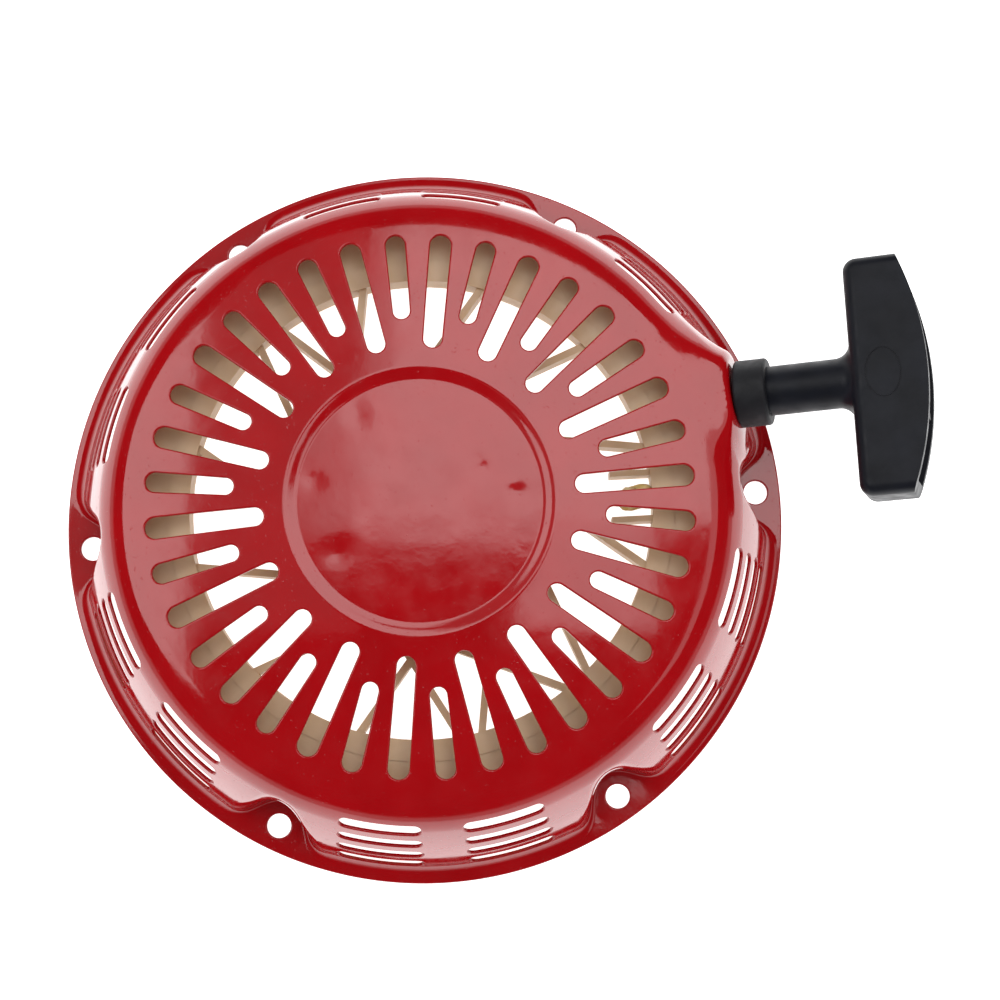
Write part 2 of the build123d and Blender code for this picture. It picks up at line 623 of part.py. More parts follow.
with BuildPart() as grip:
    with BuildSketch(bar_plane) as bar_outline:
        with BuildLine():
            end = BAR_HALF_LENGTH
            Polyline((BAR_CORNER, end), (BAR_INNER, end), (BAR_INNER, -end), (BAR_CORNER, -end))
            ThreePointArc((BAR_CORNER, -end), (BAR_OUTER, 0), (BAR_CORNER, end))
        make_face()
        fillet(bar_outline.vertices().filter_by(lambda v: v.X < BAR_INNER + 1), BAR_CORNER_R)
    extrude(amount=BAR_HALF_THICK, both=True)
    across_bar = Axis(HANDLE_POINT, bar_plane.z_dir)
    for face in (grip.faces().sort_by(across_bar)[0], grip.faces().sort_by(across_bar)[-1]):
        fillet(face.edges().filter_by(lambda e: reach(e) < BAR_CORNER + 1), BAR_EDGE_R)
    with BuildSketch(pull_plane(COLLAR_END)):
        Circle(GRIP_NECK_R)
    extrude(amount=BAR_INNER - COLLAR_END + 4.0)
    root = grip.edges().filter_by(lambda e: abs(reach(e) - BAR_INNER) < 0.5)
    root = root.filter_by(lambda e: abs((e.center() - HANDLE_POINT).dot(pull_side)) < GRIP_NECK_R + 1)
    fillet(root.filter_by(GeomType.CIRCLE), GRIP_ROOT_R)
    with BuildSketch(pull_plane(GRIP_START)):
        Circle(GRIP_SPIGOT_R)
    extrude(amount=COLLAR_END - GRIP_START)
    with BuildSketch(bar_plane):
        with Locations(((cavity_start + cavity_end) / 2, 0)):
            RectangleRounded(cavity_end - cavity_start, 2 * (BAR_HALF_LENGTH - BAR_WALL), 1.5)
    extrude(amount=BAR_HALF_THICK - BAR_WALL, both=True, mode=Mode.SUBTRACT)
    for side in (-1, 1):
        rib_middle = bar_plane.from_local_coords((0, side * RIB_PLACE, 0))
        with BuildSketch(Plane(rib_middle, x_dir=pull_axis, z_dir=bar_plane.z_dir)):
            with Locations(((BAR_INNER + BAR_OUTER) / 2, 0)):
                Rectangle(BAR_OUTER - BAR_INNER - 3.0, RIB_THICK)
        extrude(amount=BAR_HALF_THICK - BAR_WALL / 2, both=True)
    with BuildSketch(bar_plane.offset(BAR_HALF_THICK)):
        with Locations(((BAR_INNER + BAR_CORNER) / 2 + 2.0, 0)):
            half_length, half_width, line, depth = OVAL
            Ellipse(half_width, half_length)
            Ellipse(half_width - line, half_length - line, mode=Mode.SUBTRACT)
    extrude(amount=-depth, mode=Mode.SUBTRACT)
    with BuildSketch(pull_plane(0)):
        Circle(ROPE_R + CLOSE_FIT + 0.1)
    extrude(amount=cavity_start + 1, mode=Mode.SUBTRACT)
finish(grip.part, "grip")

with BuildPart() as grip_collar:
    with BuildSketch(pull_plane(COLLAR_START)):
        Circle(COLLAR_R)
    extrude(amount=COLLAR_END - COLLAR_START)
    fillet(grip_collar.edges().filter_by(GeomType.CIRCLE), COLLAR_EDGE_R)
    with BuildSketch(pull_plane(GRIP_START)):
        Circle(GRIP_SPIGOT_R)
    extrude(amount=COLLAR_END, mode=Mode.SUBTRACT)
    with BuildSketch(pull_plane(0)):
        Circle(ROPE_R + 0.9)
    extrude(amount=COLLAR_MOUTH, mode=Mode.SUBTRACT)
finish(grip_collar.part, "grip_collar")

with BuildPart() as rope_retainer:
    width, height, thick = RETAINER
    with BuildSketch(pull_plane(cavity_start)):
        RectangleRounded(width, height, 2.0)
        Circle(ROPE_R + CLOSE_FIT, mode=Mode.SUBTRACT)
    extrude(amount=thick)
finish(rope_retainer.part, "rope_retainer")

knot_start = cavity_start + RETAINER[2]
with BuildPart() as rope_handle_run:
    with BuildSketch(pull_plane(0.25)):
        Circle(ROPE_R)
    extrude(amount=knot_start - 0.25)
finish(rope_handle_run.part, "rope_handle_run")

with BuildPart() as handle_knot:
    knot_r, length, rounding = GRIP_KNOT
    with BuildSketch(pull_plane(knot_start + 0.05)):
        Circle(knot_r)
    extrude(amount=length)
    fillet(handle_knot.edges(), rounding)
finish(handle_knot.part, "handle_knot")

print("rope bend radius", ROPE_BEND_R, "leaves the reel at", round(leave_angle, 1), "degrees")
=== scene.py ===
import json
import math

import bpy
import numpy as np
from mathutils import Matrix, Vector


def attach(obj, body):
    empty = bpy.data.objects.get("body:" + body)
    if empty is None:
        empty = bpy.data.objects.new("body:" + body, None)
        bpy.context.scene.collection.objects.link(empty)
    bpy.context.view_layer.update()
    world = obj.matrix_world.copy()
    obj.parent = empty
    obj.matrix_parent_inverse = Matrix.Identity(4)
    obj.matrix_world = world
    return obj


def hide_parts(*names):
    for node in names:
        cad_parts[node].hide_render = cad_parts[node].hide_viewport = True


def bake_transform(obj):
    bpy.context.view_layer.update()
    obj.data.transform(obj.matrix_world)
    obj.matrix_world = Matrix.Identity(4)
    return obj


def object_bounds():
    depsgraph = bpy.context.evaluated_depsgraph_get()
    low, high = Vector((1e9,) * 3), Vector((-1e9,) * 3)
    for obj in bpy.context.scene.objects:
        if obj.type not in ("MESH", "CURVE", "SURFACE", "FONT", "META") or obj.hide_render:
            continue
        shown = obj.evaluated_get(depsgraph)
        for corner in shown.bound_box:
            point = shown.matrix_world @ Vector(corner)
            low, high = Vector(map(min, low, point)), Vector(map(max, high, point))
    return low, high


# Looks of a recoil starter: the case, the rope and its knots are modelled here, the rest is the CAD's own.
# Shapes are worked out in millimetres, as in the CAD source, and scaled by MM.
MM = 0.001

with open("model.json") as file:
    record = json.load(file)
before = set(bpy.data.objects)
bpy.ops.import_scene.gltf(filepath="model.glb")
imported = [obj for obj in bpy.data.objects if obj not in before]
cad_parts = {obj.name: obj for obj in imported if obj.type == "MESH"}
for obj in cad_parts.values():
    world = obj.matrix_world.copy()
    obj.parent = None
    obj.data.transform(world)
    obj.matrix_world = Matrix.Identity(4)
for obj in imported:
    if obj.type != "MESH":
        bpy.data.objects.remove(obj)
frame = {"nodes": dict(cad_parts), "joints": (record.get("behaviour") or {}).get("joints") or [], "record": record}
cad_low, cad_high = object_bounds()
nodes = frame["nodes"]
joints = {joint["name"]: joint for joint in frame["joints"]}

# ---------------------------------------------------------------- sizes shared with the CAD source, in mm
SHEET = 1.0
FLANGE_R = 113.0
BOLT_CIRCLE_R = 105.25
BOLT_HOLE_R = 3.7
BOLT_ANGLE = 4.9
CROWN_R = 648.0
CROWN_TOP = 47.33
WALL_POINTS = ((94.4, 38.0), (101.5, 21.5), (108.3, 1.0))
DISC_R = 36.0
DISC_STEP_R = 40.5
DISC_TOP = 45.25
SLOT_ANGLE = 5.8
SLOT_PERIOD = 20.0
SLOT_OUTER_R = 81.5
LONG_SLOT_INNER_R = 46.0
SHORT_SLOT_INNER_R = 55.0
LONG_SLOT_WIDTHS = (5.5, 6.3)
SHORT_SLOT_WIDTHS = (5.0, 5.8)
POCKET_R = 8.3
LOUVRE_ROWS = (33.4, 24.5, 15.5, 6.8)
LOUVRE_HALF_ANGLE = 7.3
LOUVRE_HEIGHT = 4.8
LOUVRE_MIDWAY = 34.05
LOUVRE_OFFSET = 11.0
HANDLE_POINT = np.array((95.65, 34.55, 30.2))
EXIT_FACE_GAP = 0.5
EXIT_FACE_R = 13.0
EXIT_TAPER = math.radians(32.0)
EXIT_DEPTH = 20.0
EXIT_HOLE_R = 5.45
ROPE_R = 2.5
GROOVE_MIDDLE = 28.6
FIRST_TURN_R = 74.6
OUTER_TURN_R = 79.7
LEAD_BEND_R = 8.0
ROPE_CORNER = 5.5           # how far inside the handle's base the rope's bend has its corner
REEL_KNOT_R = 69.5
REEL_KNOT_ANGLE = math.radians(3.0)
REEL_KNOT_SIZE = (10.0, 4.4)        # length and reach from its axis
GRIP_KNOT_START = 40.4
GRIP_KNOT_SIZE = (9.4, 5.6)

pull_axis = np.array(joints["handle_pull"]["axis"])
pull_length = joints["handle_pull"]["range_m"][1] / MM


def on_pull_axis(distance):
    return HANDLE_POINT + pull_axis * distance


def polar(radius, angle, height):
    return np.array((radius * math.cos(angle), radius * math.sin(angle), height))


# ---------------------------------------------------------------- camera
CAMERA_PLACE = (0.02215, -0.08141, 0.59455)
CAMERA_TARGET = (0.02373, 0.00671, 0.0)
CAMERA_LENS = 68.08
SENSOR_WIDTH = 36.0

camera = bpy.data.objects.new("camera", bpy.data.cameras.new("camera"))
bpy.context.scene.collection.objects.link(camera)
look = (Vector(CAMERA_TARGET) - Vector(CAMERA_PLACE)).normalized()
across = (Vector((1.0, 0.0, 0.0)) - look * look.x).normalized()
camera.matrix_world = Matrix((across, across.cross(look), -look)).transposed().to_4x4()
camera.location = CAMERA_PLACE
camera.data.lens = CAMERA_LENS
camera.data.sensor_width = SENSOR_WIDTH
camera.data.clip_start = 0.01
camera.data.clip_end = 50.0
bpy.context.scene.camera = camera
bpy.context.scene.view_settings.view_transform = "Standard"


# ---------------------------------------------------------------- material helpers
def new_material(name, color, roughness, metallic=0.0):
    """A material and its principled node, with the constants on the shader's own sockets."""
    material = bpy.data.materials.new(name)
    material.use_nodes = True
    shader = material.node_tree.nodes["Principled BSDF"]
    shader.inputs["Base Color"].default_value = (*color, 1.0)
    shader.inputs["Roughness"].default_value = roughness
    shader.inputs["Metallic"].default_value = metallic
    return material, shader


def add_node(material, kind, **values):
    """A node with inputs set by name (spaces as underscores) to constants or other nodes' outputs."""
    node = material.node_tree.nodes.new(kind)
    for key, value in values.items():
        name = key.replace("_", " ")
        if name in node.inputs:
            if isinstance(value, bpy.types.NodeSocket):
                material.node_tree.links.new(value, node.inputs[name])
            else:
                node.inputs[name].default_value = value
        else:
            setattr(node, key, value)
    return node


def link(material, output, node, name):
    material.node_tree.links.new(output, node.inputs[name])


def place_coordinates(material):
    """Object coordinates: metres in the part's frame."""
    return add_node(material, "ShaderNodeTexCoord").outputs["Object"]


def noise(material, scale, detail=2.0, roughness=0.5, vector=None):
    node = add_node(material, "ShaderNodeTexNoise", Scale=scale, Detail=detail, Roughness=roughness)
    link(material, vector or place_coordinates(material), node, "Vector")
    return node.outputs["Fac"]


def ramp(material, value, low, high, low_at=0.3, high_at=0.7):
    """Colours from low to high as value goes from low_at to high_at."""
    node = add_node(material, "ShaderNodeValToRGB")
    link(material, value, node, "Fac")
    first, last = node.color_ramp.elements
    first.position, last.position = low_at, high_at
    first.color, last.color = (*low, 1.0), (*high, 1.0)
    return node.outputs["Color"]


def remap(material, value, low, high, low_at=0.3, high_at=0.7):
    node = add_node(material, "ShaderNodeMapRange")
    link(material, value, node, "Value")
    node.inputs["From Min"].default_value = low_at
    node.inputs["From Max"].default_value = high_at
    node.inputs["To Min"].default_value = low
    node.inputs["To Max"].default_value = high
    return node.outputs["Result"]


def bump(material, height, distance, strength=1.0, normal=None):
    node = add_node(material, "ShaderNodeBump", Distance=distance, Strength=strength)
    link(material, height, node, "Height")
    if normal is not None:
        link(material, normal, node, "Normal")
    return node.outputs["Normal"]


def clouded(material, shader, scale, detail, low, high):
    """Base colour that drifts between two tints."""
    link(material, ramp(material, noise(material, scale, detail), low, high), shader, "Base Color")


def uneven_gloss(material, shader, scale, detail, low, high):
    """Roughness that drifts between two values."""
    link(material, remap(material, noise(material, scale, detail), low, high), shader, "Roughness")


def scatter(shader, weight, radii, scale):
    """Light that goes a little way into the plastic."""
    shader.inputs["Subsurface Weight"].default_value = weight
    shader.inputs["Subsurface Radius"].default_value = radii
    shader.inputs["Subsurface Scale"].default_value = scale


# ---------------------------------------------------------------- materials
def make_red_enamel():
    """Glossy paint with slow waves, orange peel and a few grains of dust under it."""
    material, shader = new_material("red_enamel", (0.27, 0.0012, 0.003), 0.10)
    shader.inputs["Specular IOR Level"].default_value = 0.5
    shader.inputs["Coat Weight"].default_value = 0.25
    shader.inputs["Coat Roughness"].default_value = 0.03
    clouded(material, shader, 45.0, 3.0, (0.255, 0.0010, 0.0026), (0.290, 0.0016, 0.0036))
    uneven_gloss(material, shader, 160.0, 2.0, 0.07, 0.14)
    waves = bump(material, noise(material, 70.0, 1.0), 0.00008)
    peel = bump(material, noise(material, 450.0, 2.0), 0.000014, normal=waves)
    specks = noise(material, 1500.0, 0.0)
    grit = bump(material, remap(material, specks, 0.0, 1.0, 0.78, 0.86), 0.00003, normal=peel)
    link(material, grit, shader, "Normal")
    return material


def make_ivory_nylon():
    material, shader = new_material("ivory_nylon", (0.59, 0.43, 0.26), 0.42)
    scatter(shader, 0.15, (1.0, 0.8, 0.5), 0.002)
    clouded(material, shader, 60.0, 4.0, (0.54, 0.38, 0.21), (0.64, 0.48, 0.30))
    uneven_gloss(material, shader, 300.0, 3.0, 0.36, 0.5)
    flow = bump(material, noise(material, 120.0, 2.0), 0.00004)
    grain = bump(material, noise(material, 2500.0, 2.0), 0.000008, normal=flow)
    link(material, grain, shader, "Normal")
    return material


def make_black_grip():
    material, shader = new_material("black_grip", (0.005, 0.0056, 0.009), 0.40)
    shader.inputs["Specular IOR Level"].default_value = 0.22
    clouded(material, shader, 90.0, 4.0, (0.0038, 0.0043, 0.007), (0.0068, 0.0078, 0.0125))
    uneven_gloss(material, shader, 220.0, 4.0, 0.34, 0.52)
    flow = bump(material, noise(material, 150.0, 2.0), 0.00006)
    grain = bump(material, noise(material, 2600.0, 2.0), 0.00002, normal=flow)
    link(material, grain, shader, "Normal")
    return material


def make_black_rubber():
    material, shader = new_material("black_rubber", (0.005, 0.005, 0.008), 0.5)
    shader.inputs["Specular IOR Level"].default_value = 0.35
    clouded(material, shader, 130.0, 4.0, (0.0045, 0.0045, 0.0065), (0.009, 0.009, 0.012))
    uneven_gloss(material, shader, 400.0, 4.0, 0.48, 0.66)
    link(material, bump(material, noise(material, 1800.0, 3.0), 0.00003), shader, "Normal")
    return material


def make_steel(name, color, roughness, streaks):
    """Bare or plated steel: clouded colour, uneven gloss, and turned or rolled streaks in the bump."""
    material, shader = new_material(name, color, roughness, metallic=1.0)
    dark = tuple(c * 0.82 for c in color)
    light = tuple(min(1.0, c * 1.12) for c in color)
    clouded(material, shader, 110.0, 5.0, dark, light)
    uneven_gloss(material, shader, 260.0, 4.0, roughness * 0.75, roughness * 1.3)
    stretched = add_node(material, "ShaderNodeMapping", Scale=streaks)
    link(material, place_coordinates(material), stretched, "Vector")
    lines = noise(material, 1.0, 3.0, vector=stretched.outputs["Vector"])
    link(material, bump(material, lines, 0.000012), shader, "Normal")
    return material


def make_rope():
    material, shader = new_material("rope", (0.80, 0.72, 0.50), 0.62)
    shader.inputs["Sheen Weight"].default_value = 0.25
    shader.inputs["Sheen Roughness"].default_value = 0.4
    clouded(material, shader, 350.0, 4.0, (0.66, 0.56, 0.34), (0.86, 0.80, 0.62))
    uneven_gloss(material, shader, 700.0, 3.0, 0.52, 0.75)
    link(material, bump(material, noise(material, 3500.0, 3.0), 0.00004), shader, "Normal")
    return material


def make_knot_nylon():
    """Rope of the reel's knot, half melted together and yellowed."""
    material, shader = new_material("rope_melted", (0.78, 0.62, 0.22), 0.28)
    scatter(shader, 0.3, (1.0, 0.7, 0.3), 0.003)
    clouded(material, shader, 400.0, 4.0, (0.70, 0.52, 0.14), (0.84, 0.76, 0.48))
    uneven_gloss(material, shader, 500.0, 3.0, 0.2, 0.5)
    link(material, bump(material, noise(material, 2200.0, 3.0), 0.00005), shader, "Normal")
    return material


STEELS = {
    "zinc_steel": ((0.62, 0.60, 0.54), 0.38, (900.0, 60.0, 60.0)),
    "turned_steel": ((0.56, 0.56, 0.57), 0.25, (40.0, 40.0, 3000.0)),
    "plated_steel": ((0.68, 0.68, 0.70), 0.22, (300.0, 300.0, 300.0)),
    "spring_steel": ((0.42, 0.42, 0.45), 0.28, (500.0, 500.0, 1500.0)),
    "blued_spring_steel": ((0.15, 0.18, 0.26), 0.30, (50.0, 50.0, 2200.0)),
    "hardened_steel": ((0.34, 0.33, 0.32), 0.35, (1200.0, 200.0, 200.0)),
}
finishes = {
    "red_enamel": make_red_enamel(),
    "ivory_nylon": make_ivory_nylon(),
    "black_grip": make_black_grip(),
    "black_rubber": make_black_rubber(),
    "rope": make_rope(),
}
for name, look in STEELS.items():
    finishes[name] = make_steel(name, *look)
knot_nylon = make_knot_nylon()

for subpart in frame["record"]["subparts"]:
    mesh = nodes[subpart["node"]].data
    mesh.materials.clear()
    mesh.materials.append(finishes[subpart["material_slot"]])


REEL_EDGE_ROUND = 0.35
SHARP = math.radians(40)


def round_edges(name, radius):
    """Moulded edges: a small round on every sharp one."""
    bevel = nodes[name].modifiers.new("edges", "BEVEL")
    bevel.width = radius * MM
    bevel.segments = 2
    bevel.limit_method = "ANGLE"
    bevel.angle_limit = SHARP


round_edges("reel", REEL_EDGE_ROUND)


# ---------------------------------------------------------------- mesh helpers
def new_piece(name, points, faces, material, corner_normals=None):
    """A smooth mesh object from points in millimetres."""
    mesh = bpy.data.meshes.new(name)
    mesh.from_pydata((np.asarray(points) * MM).tolist(), [], faces)
    mesh.validate()
    mesh.polygons.foreach_set("use_smooth", np.ones(len(mesh.polygons), bool))
    if corner_normals is not None:
        mesh.normals_split_custom_set(corner_normals)
    mesh.materials.append(material)
    piece = bpy.data.objects.new(name, mesh)
    bpy.context.scene.collection.objects.link(piece)
    return piece


def unit(vectors):
    return vectors / np.maximum(np.linalg.norm(vectors, axis=-1, keepdims=True), 1e-12)


def smooth_step(value):
    share = np.clip(value, 0.0, 1.0)
    return share * share * (3.0 - 2.0 * share)


def between(ends, share):
    return ends[0] + (ends[1] - ends[0]) * share


def round_max(a, b, radius):
    """Both solids' overlap, its edge rounded."""
    corner = np.hypot(np.maximum(radius + a, 0.0), np.maximum(radius + b, 0.0))
    return np.minimum(-radius, np.maximum(a, b)) + corner


def round_min(a, b, radius):
    """Two solids joined, with a fillet where they meet."""
    corner = np.hypot(np.maximum(radius - a, 0.0), np.maximum(radius - b, 0.0))
    return np.maximum(radius, np.minimum(a, b)) - corner


# ---------------------------------------------------------------- case: a pressed sheet, one closed mesh
SHOULDER_ROUNDS = (1.6, 5.0)    # over the rope's exit and elsewhere
CROWN_ROLL = (84.8, 12.0, 0.014)    # radius where the crown starts to drop more, for how far, how fast
BOSS_ROUND = 6.0
BOSS_FACE_ROUND = 1.6
BOSS_SPREAD = 12.0          # from the boss's face to where the shoulder is as elsewhere
POCKET_ROUNDS = (9.0, 2.0)  # at the flange and at the pocket's arch
POCKET_ARCH = 26.0
POCKET_SPREAD = 12.0        # from a pocket to where the flange is as midway between two
FOOT_ROUNDS = (2.0, 3.5)    # in a pocket and between two pockets
FLANGE_FALL = (8.0, 0.10)   # between two pockets the flange falls this far in from its rim, this fast
EDGE_ROUND = 0.5            # the painted roll of every cut edge
LARGEST_R = 140.0           # no part of the case is beyond it
TOP_LOW = 36.0              # the top is above this height
WALL_IN = 85.0              # the wall is outside this radius
FLANGE_HIGH = 8.0           # the flange's holes are below this height
EXIT_REACH = 10.0           # the exit hole is within this of the handle's base
FAR = 50.0
# Marks of the plate's welds in the disc: radius, angle, depth and size.
WELDS = (
    (19.9, 27.2, 0.18, 2.3),
    (20.2, 37.7, 0.10, 1.8),
    (29.0, 4.9, 0.16, 2.2),
    (31.5, 126.0, 0.12, 3.2),
    (31.5, 170.0, 0.12, 3.2),
    (28.0, 214.0, 0.13, 3.4),
)


def circle_through(first, second, third):
    (ax, ay), (bx, by), (cx, cy) = first, second, third
    twice_area = 2 * (ax * (by - cy) + bx * (cy - ay) + cx * (ay - by))
    a2, b2, c2 = ax**2 + ay**2, bx**2 + by**2, cx**2 + cy**2
    x = (a2 * (by - cy) + b2 * (cy - ay) + c2 * (ay - by)) / twice_area
    y = (a2 * (cx - bx) + b2 * (ax - cx) + c2 * (bx - ax)) / twice_area
    return x, y, math.dist((x, y), first)


wall_x, wall_z, wall_bulge = circle_through(*WALL_POINTS)


def wall_radius(height):
    return wall_x + np.sqrt(wall_bulge**2 - (height - wall_z) ** 2)


def around(degrees, start, period):
    """Degrees from the nearest of the directions start, start + period and so on."""
    return (degrees - start + period / 2) % period - period / 2


def top_height(x, y, radius):
    crown = CROWN_TOP - (CROWN_R - np.sqrt(CROWN_R**2 - radius**2))
    height = between((DISC_TOP, crown), smooth_step((radius - DISC_R) / (DISC_STEP_R - DISC_R)))
    for weld_radius, weld_angle, depth, size in WELDS:
        angle = math.radians(weld_angle)
        gap2 = (x - weld_radius * math.cos(angle)) ** 2 + (y - weld_radius * math.sin(angle)) ** 2
        height = height - depth * np.exp(-gap2 / size**2)
    return height


def along_pull(points):
    """Distances along the handle's axis, and from it."""
    away = points - HANDLE_POINT
    distance = away @ pull_axis
    return distance, np.linalg.norm(away - distance[:, None] * pull_axis, axis=1)


def bolt_gap(x, y):
    """Distance in plan from the nearest bolt hole's axis."""
    angle = np.radians(around(np.degrees(np.arctan2(y, x)), BOLT_ANGLE, 60.0))
    radius = np.hypot(x, y)
    return np.hypot(radius * np.cos(angle) - BOLT_CIRCLE_R, radius * np.sin(angle))


def case_distance(points):
    """Distance from the case's outer skin, negative inside it."""
    x, y, z = points.T
    radius = np.hypot(x, y)
    distance, offset = along_pull(points)
    away = smooth_step((offset - EXIT_FACE_R) / BOSS_SPREAD)
    roll_start, roll_reach, roll_rate = CROWN_ROLL
    roll = roll_rate * np.clip(radius - roll_start, 0.0, roll_reach) ** 2
    top = z - top_height(x, y, np.minimum(radius, LARGEST_R)) + roll * away
    wall = np.hypot(radius - wall_x, z - wall_z) - wall_bulge
    cone_r = EXIT_FACE_R - (distance + EXIT_FACE_GAP) * math.tan(EXIT_TAPER)
    boss = round_max((offset - cone_r) * math.cos(EXIT_TAPER), distance + EXIT_FACE_GAP, BOSS_FACE_ROUND)
    boss = np.maximum(boss, -EXIT_DEPTH - distance)
    body = round_max(top, round_min(wall, boss, BOSS_ROUND), between(SHOULDER_ROUNDS, away))
    gap = bolt_gap(x, y)
    body = round_max(body, POCKET_R - gap, between(POCKET_ROUNDS, smooth_step(z / POCKET_ARCH)))
    clear = smooth_step((gap - POCKET_R) / POCKET_SPREAD)
    fall_reach, fall_rate = FLANGE_FALL
    flange = SHEET + fall_rate * clear * np.clip(FLANGE_R - radius, 0.0, fall_reach)
    return round_min(body, z - flange, between(FOOT_ROUNDS, clear))


RAY_ORIGIN = np.array((0.0, 0.0, -40.0))
RAY_RANGE = (30.0, 175.0)
HALVINGS = 34
PROBE = 0.02                # step of the numerical gradients


def cast(directions):
    """Points of the skin along rays from RAY_ORIGIN."""
    low = np.full(len(directions), RAY_RANGE[0])
    high = np.full(len(directions), RAY_RANGE[1])
    for _ in range(HALVINGS):
        middle = (low + high) / 2
        outside = case_distance(RAY_ORIGIN + directions * middle[:, None]) > 0
        high = np.where(outside, middle, high)
        low = np.where(outside, low, middle)
    return RAY_ORIGIN + directions * ((low + high) / 2)[:, None]


def gradient(function, points):
    """Unit vectors along which a distance grows fastest."""
    result = np.zeros_like(points)
    for axis in range(3):
        shift = np.zeros(3)
        shift[axis] = PROBE
        result[:, axis] = function(points + shift) - function(points - shift)
    return unit(result)


def tapered_slot(x, y, inner_r, outer_r, widths):
    """Distance in plan from a slot that lies along X and widens outwards."""
    small, large = widths[0] / 2, widths[1] / 2
    start, length = inner_r + small, outer_r - large - inner_r - small
    along, across = x - start, np.abs(y)
    lean = (small - large) / length
    rise = math.sqrt(1 - lean**2)
    place = along * rise - across * lean
    side = along * lean + across * rise - small
    inner_end, outer_end = np.hypot(along, across) - small, np.hypot(along - length, across) - large
    ends = np.where(place < 0, inner_end, outer_end)
    return np.where((place < 0) | (place > rise * length), ends, side)


def louvre_angles():
    angles = []
    for bolt in range(6):
        midway = LOUVRE_MIDWAY + bolt * 60
        angles += [midway - LOUVRE_OFFSET, midway + LOUVRE_OFFSET]
    return angles[1:]       # the rope leaves where the first would be


def hole_distance(points):
    """Distance from the nearest cut edge, negative in a hole or past the rim."""
    x, y, z = points.T
    radius = np.hypot(x, y)
    degrees = np.degrees(np.arctan2(y, x))
    result = np.minimum(FLANGE_R - radius, FAR)
    for start, inner_r, widths in (
        (SLOT_ANGLE, LONG_SLOT_INNER_R, LONG_SLOT_WIDTHS),
        (SLOT_ANGLE + SLOT_PERIOD / 2, SHORT_SLOT_INNER_R, SHORT_SLOT_WIDTHS),
    ):
        turn = np.radians(around(degrees, start, SLOT_PERIOD))
        gap = tapered_slot(radius * np.cos(turn), radius * np.sin(turn), inner_r, SLOT_OUTER_R, widths)
        result = np.minimum(result, np.where(z > TOP_LOW, gap, FAR))
    rows = np.array(LOUVRE_ROWS)
    nearest = rows[np.abs(z[:, None] - rows).argmin(axis=1)]
    half = wall_radius(nearest) * math.sin(math.radians(LOUVRE_HALF_ANGLE)) - LOUVRE_HEIGHT / 2
    for angle in louvre_angles():
        turn = np.radians(degrees - angle)
        across = radius * np.sin(turn)
        beside = np.maximum(np.abs(across) - half, 0.0)
        gap = np.hypot(beside, z - nearest) - LOUVRE_HEIGHT / 2
        result = np.minimum(result, np.where((np.cos(turn) > 0.9) & (radius > WALL_IN), gap, FAR))
    bolt = bolt_gap(x, y) - BOLT_HOLE_R
    result = np.minimum(result, np.where(z < FLANGE_HIGH, bolt, FAR))
    distance, offset = along_pull(points)
    return np.minimum(result, np.where(np.abs(distance) < EXIT_REACH, offset - EXIT_HOLE_R, FAR))


def edge_table(faces, count):
    """Each triangle's three edges as numbers into a list of unique edges, and that list."""
    ends = np.stack([faces, np.roll(faces, -1, axis=1)], axis=2).reshape(-1, 2)
    keys = ends.min(axis=1) * count + ends.max(axis=1)
    unique, inverse = np.unique(keys, return_inverse=True)
    return inverse.reshape(-1, 3), np.stack([unique // count, unique % count], axis=1)


def split_triangles(faces, numbers, middle):
    """Triangles divided at the edges that have a middle point, which is -1 where there is none."""
    marks = middle[numbers]
    marked = marks >= 0
    made = [faces[~marked.any(axis=1)]]
    for turn in range(3):
        f, m = np.roll(faces, -turn, axis=1), np.roll(marks, -turn, axis=1)
        on = np.roll(marked, -turn, axis=1)
        one = on[:, 0] & ~on[:, 1] & ~on[:, 2]
        a, b, c, ab = f[one, 0], f[one, 1], f[one, 2], m[one, 0]
        made += [np.stack([a, ab, c], 1), np.stack([ab, b, c], 1)]
        two = on[:, 0] & on[:, 1] & ~on[:, 2]
        a, b, c, ab, bc = f[two, 0], f[two, 1], f[two, 2], m[two, 0], m[two, 1]
        made += [np.stack([ab, b, bc], 1), np.stack([a, ab, bc], 1), np.stack([a, bc, c], 1)]
    all_three = marked.all(axis=1)
    f, m = faces[all_three], marks[all_three]
    for turn in range(3):
        made.append(np.stack([f[:, turn], m[:, turn], m[:, turn - 1]], 1))
    made.append(m)
    return np.concatenate(made)


GRID_COLUMNS = 180
TOP_RINGS = (32, 4.0, 2.6)          # how many, the first one's radius and the step to the next
SHOULDER_RINGS = (87.2, 89.6, 91.4, 93.0)
WALL_RINGS = (15, 37.8, -2.4)       # how many, the first one's height and the step to the next
FLANGE_RINGS = (109.5, 111.2, 112.6, 115.0)


